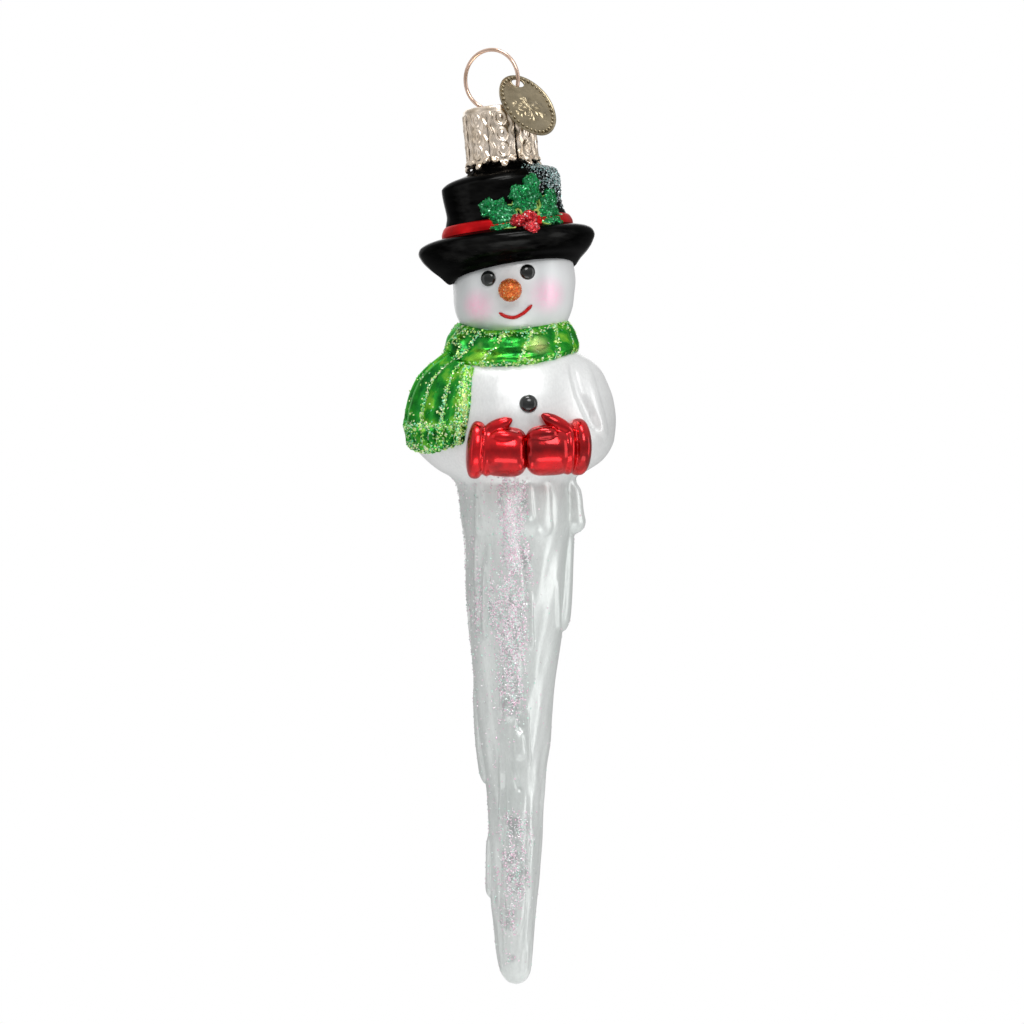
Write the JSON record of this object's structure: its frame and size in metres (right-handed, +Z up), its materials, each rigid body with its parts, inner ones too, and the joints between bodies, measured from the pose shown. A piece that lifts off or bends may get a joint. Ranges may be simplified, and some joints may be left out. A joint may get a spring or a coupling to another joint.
{
  "type": "icicle hanging ornament",
  "caption": "Blown-glass snowman in a top hat whose body runs out into a long icicle, hung by a wire loop from a crown cap.",
  "frame": {"origin": "the hang point: inside of the wire loop at its highest place", "axes": "+Z up along the hanging ornament, the figure's face looks along -Y, its own right hand is towards -X"},
  "size_m": [0.035, 0.0313, 0.156],
  "materials": {
    "pearl_glass": "satin pearl lacquer over silvered glass",
    "champagne_gold": "stamped, bright champagne gold plate",
    "rose_gold_wire": "bright copper-plated spring wire",
    "tag_gold": "stamped, slightly dulled gold plate",
    "black_enamel": "thick glossy drop",
    "red_enamel": "glossy painted line",
    "orange_glitter": "fine glitter set in lacquer",
    "green_glitter": "fine glitter set in lacquer",
    "berry_glitter": "fine glitter set in lacquer",
    "silver_glitter": "loose glitter flakes set in glue",
    "black_lacquer": "high-gloss black lacquer on the glass hat",
    "red_lacquer": "transparent red lacquer over silvering",
    "green_lacquer": "transparent green lacquer over silvering"
  },
  "bodies": {
    "hanger": {"hanger_wire": "rose_gold_wire"},
    "cap": {"crown_cap": "champagne_gold"},
    "figure": {"glass_figure": "pearl_glass", "left_eye": "black_enamel", "right_eye": "black_enamel", "coat_button": "black_enamel", "nose": "orange_glitter", "mouth": "red_enamel", "holly_leaf_left": "green_glitter", "holly_leaf_top": "green_glitter", "holly_leaf_right": "green_glitter", "holly_berry_left": "berry_glitter", "holly_berry_right": "berry_glitter", "holly_berry_low": "berry_glitter", "hat_frost": "silver_glitter", "scarf_glitter_1": "silver_glitter", "scarf_glitter_2": "silver_glitter", "scarf_glitter_3": "silver_glitter", "scarf_glitter_4": "silver_glitter", "tail_glitter_1": "silver_glitter", "tail_glitter_2": "silver_glitter", "tail_glitter_3": "silver_glitter", "icicle_glitter_upper": "silver_glitter", "icicle_glitter_lower": "silver_glitter"},
    "tag": {"hang_tag": "tag_gold"}
  },
  "joints": [
    {"name": "cap_on_wire", "type": "slide", "parent": "hanger", "child": "cap", "axis": [-0.1219, 0, 0.9925], "range_m": [-0.004, 0]},
    {"name": "glass_in_cap", "type": "slide", "parent": "cap", "child": "figure", "axis": [-0.1219, 0, 0.9925], "range_m": [-0.03, 0]},
    {"name": "tag_swing", "type": "hinge", "parent": "hanger", "child": "tag", "pos_m": [0.00435, -0.0022, -0.00549], "axis": [-0.9078, -0.4195, 0], "range_deg": [0, 90]}
  ]
}
